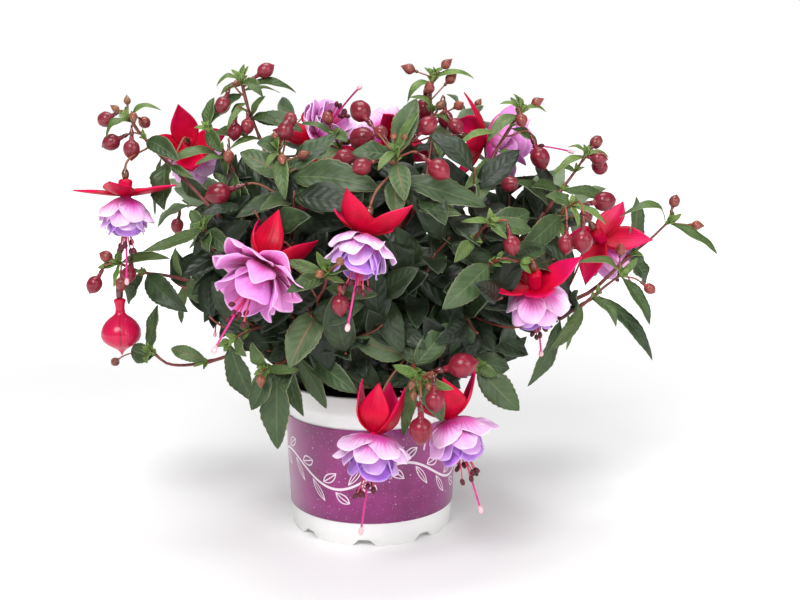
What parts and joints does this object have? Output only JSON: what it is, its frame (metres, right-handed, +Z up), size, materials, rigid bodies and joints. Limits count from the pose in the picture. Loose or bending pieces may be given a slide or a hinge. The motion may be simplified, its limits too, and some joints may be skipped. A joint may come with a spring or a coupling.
{
  "type": "potted fuchsia plant",
  "caption": "Bushy double-flowered fuchsia with hanging two-colour blooms, standing in a round white nursery pot with a printed sleeve.",
  "frame": {"origin": "middle of the pot's underside, on the surface it stands on", "axes": "+Z up, -Y towards the plant's front, +X to its right seen from the front"},
  "size_m": [0.4113, 0.3369, 0.3093],
  "materials": {
    "pot": "satin white polypropylene",
    "label": "printed film with fine pale specks, slightly glossy",
    "soil": "damp peat",
    "wood": "young red-brown bark",
    "leaf": "waxy dark green leaf, pale beneath",
    "calyx": "waxy crimson",
    "corolla": "soft lilac-pink petal"
  },
  "bodies": {
    "root": {"pot": "pot", "pot_label": "label", "soil": "soil", "woody_branches": "wood", "bloom_left_calyx": "calyx", "bloom_left_corolla": "corolla", "bloom_left_upper_calyx": "calyx", "bloom_left_upper_corolla": "corolla", "bloom_top_left_calyx": "calyx", "bloom_top_left_corolla": "corolla", "bloom_top_middle_calyx": "calyx", "bloom_top_middle_corolla": "corolla", "bloom_top_right_calyx": "calyx", "bloom_top_right_corolla": "corolla", "bloom_front_upper_calyx": "calyx", "bloom_front_upper_corolla": "corolla", "bloom_front_left_calyx": "calyx", "bloom_front_left_corolla": "corolla", "bloom_right_calyx": "calyx", "bloom_right_corolla": "corolla", "bloom_right_far_calyx": "calyx", "bloom_right_far_corolla": "corolla", "bloom_front_low_calyx": "calyx", "bloom_front_low_corolla": "corolla", "bloom_front_right_calyx": "calyx", "bloom_front_right_corolla": "corolla", "bloom_back_calyx": "calyx", "bloom_back_corolla": "corolla", "bloom_back_left_calyx": "calyx", "bloom_back_left_corolla": "corolla", "bloom_back_right_calyx": "calyx", "bloom_back_right_corolla": "corolla", "shoot_left_top": "leaf", "shoot_left_tall": "leaf", "shoot_left_inner": "leaf", "shoot_upper_left": "leaf", "shoot_top_middle": "leaf", "shoot_middle": "leaf", "shoot_top": "leaf", "shoot_upper_right": "leaf", "shoot_right_upper": "leaf", "shoot_right_middle": "leaf", "shoot_right_far": "leaf", "shoot_right_low": "leaf", "shoot_right_inner": "leaf", "shoot_right_front": "leaf", "shoot_front_low": "leaf", "shoot_front_left": "leaf", "shoot_right_base": "leaf", "shoot_left_base": "leaf", "shoot_left": "leaf", "shoot_left_upper": "leaf", "shoot_left_low": "leaf", "shoot_left_bottom": "leaf", "shoot_back_left": "leaf", "shoot_back_left_up": "leaf", "shoot_back_right_up": "leaf", "shoot_back": "leaf", "shoot_back_right": "leaf", "shoot_back_low": "leaf"}
  },
  "joints": []
}
